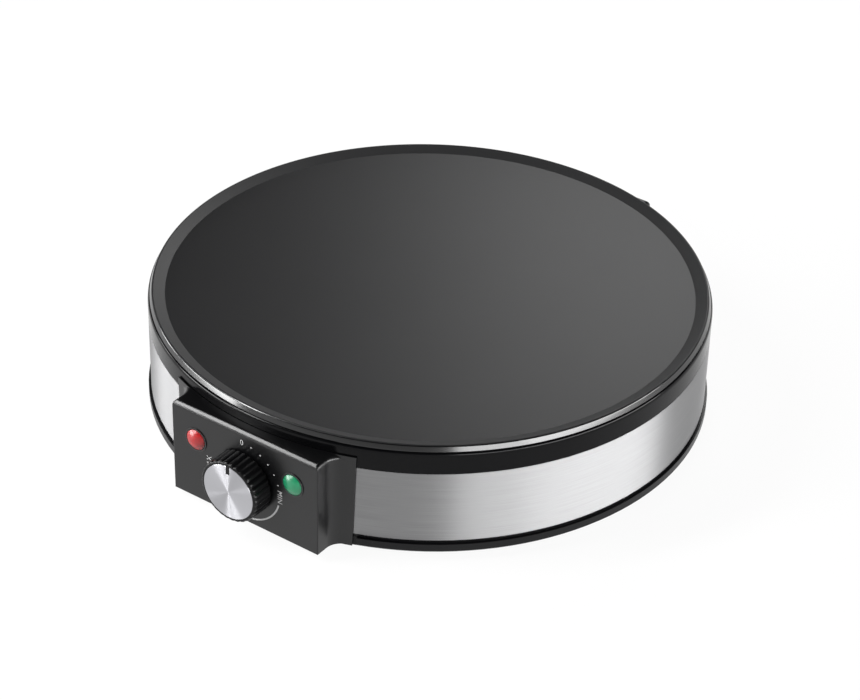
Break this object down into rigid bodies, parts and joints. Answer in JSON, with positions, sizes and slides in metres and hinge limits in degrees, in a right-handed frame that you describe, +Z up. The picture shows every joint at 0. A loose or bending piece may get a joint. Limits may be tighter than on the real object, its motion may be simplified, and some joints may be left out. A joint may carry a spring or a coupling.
{
  "type": "electric crepe maker",
  "caption": "Electric crepe maker: flat round cooking plate on a low drum with a steel band, a front control housing with knob and lamps, and a rear cord housing.",
  "frame": {"origin": "on the counter, below the middle of the whole object's box; the drum's axis is 5.35 mm behind it", "axes": "+Z up out of the cooking plate; the knob and lamps face -Y; +X to the right seen from the front"},
  "size_m": [0.3088, 0.336, 0.069],
  "materials": {
    "nonstick_plate": "cast aluminium with a matt black non-stick coating",
    "black_collar": "glossy black heat-resistant plastic",
    "brushed_steel": "brushed round the drum",
    "black_base": "satin black plastic",
    "black_housing": "semi-gloss black plastic",
    "foot_rubber": "matt",
    "zinc_screw": "zinc-plated steel",
    "ceramic": "steatite ceramic",
    "aluminised_sheet": "aluminised steel sheet",
    "element_steel": "oxidised stainless tube",
    "spring_steel": "plain steel strip",
    "contact_brass": "brass, tinned",
    "shaft_steel": "turned steel",
    "knob_black": "satin black, fluted",
    "knob_aluminium": "spun aluminium disc",
    "lamp_black": "black polyamide",
    "neon_glass": "clear glass bulb",
    "red_lens": "translucent red",
    "green_lens": "translucent green",
    "block_nylon": "natural polyamide",
    "brown_wire": "insulated wire",
    "blue_wire": "insulated wire",
    "earth_green_wire": "insulated wire",
    "glass_sleeve": "woven glass sleeve over wire",
    "fuse_case": "ceramic-cased thermal fuse"
  },
  "bodies": {
    "base": {"cooking_plate": "nonstick_plate", "upper_ring": "black_collar", "steel_band_left": "brushed_steel", "steel_band_right": "brushed_steel", "base_pan": "black_base", "rubber_feet": "foot_rubber", "control_housing": "black_housing", "rear_housing": "black_housing", "housing_screws": "zinc_screw", "ring_screws": "zinc_screw", "plate_screws": "zinc_screw", "insulating_spacers": "ceramic", "heat_shield": "aluminised_sheet", "heating_element": "element_steel", "element_pins": "shaft_steel", "element_clamps": "spring_steel", "clamp_screws": "zinc_screw", "thermal_fuse": "fuse_case", "fuse_clip": "spring_steel", "earth_tag": "contact_brass", "thermostat_body": "ceramic", "thermostat_blades": "contact_brass", "thermostat_bracket": "spring_steel", "bracket_screws": "zinc_screw", "lamp_holders": "lamp_black", "neon_lamps": "neon_glass", "power_lens": "red_lens", "ready_lens": "green_lens", "push_on_terminals": "contact_brass", "terminal_block": "block_nylon", "live_wire": "brown_wire", "neutral_wire": "blue_wire", "earth_wire": "earth_green_wire", "link_wire": "glass_sleeve", "heater_wire": "glass_sleeve", "lamp_leads": "glass_sleeve", "cord_gland": "lamp_black", "cord_clamp": "black_base", "cord_clamp_screws": "zinc_screw"},
    "knob": {"knob_body": "knob_black", "knob_cap": "knob_aluminium", "thermostat_shaft": "shaft_steel"}
  },
  "joints": [
    {"name": "knob_turn", "type": "hinge", "parent": "base", "child": "knob", "pos_m": [0, -0.15495, 0.03], "axis": [0, 1, 0], "range_deg": [0, 270]}
  ]
}
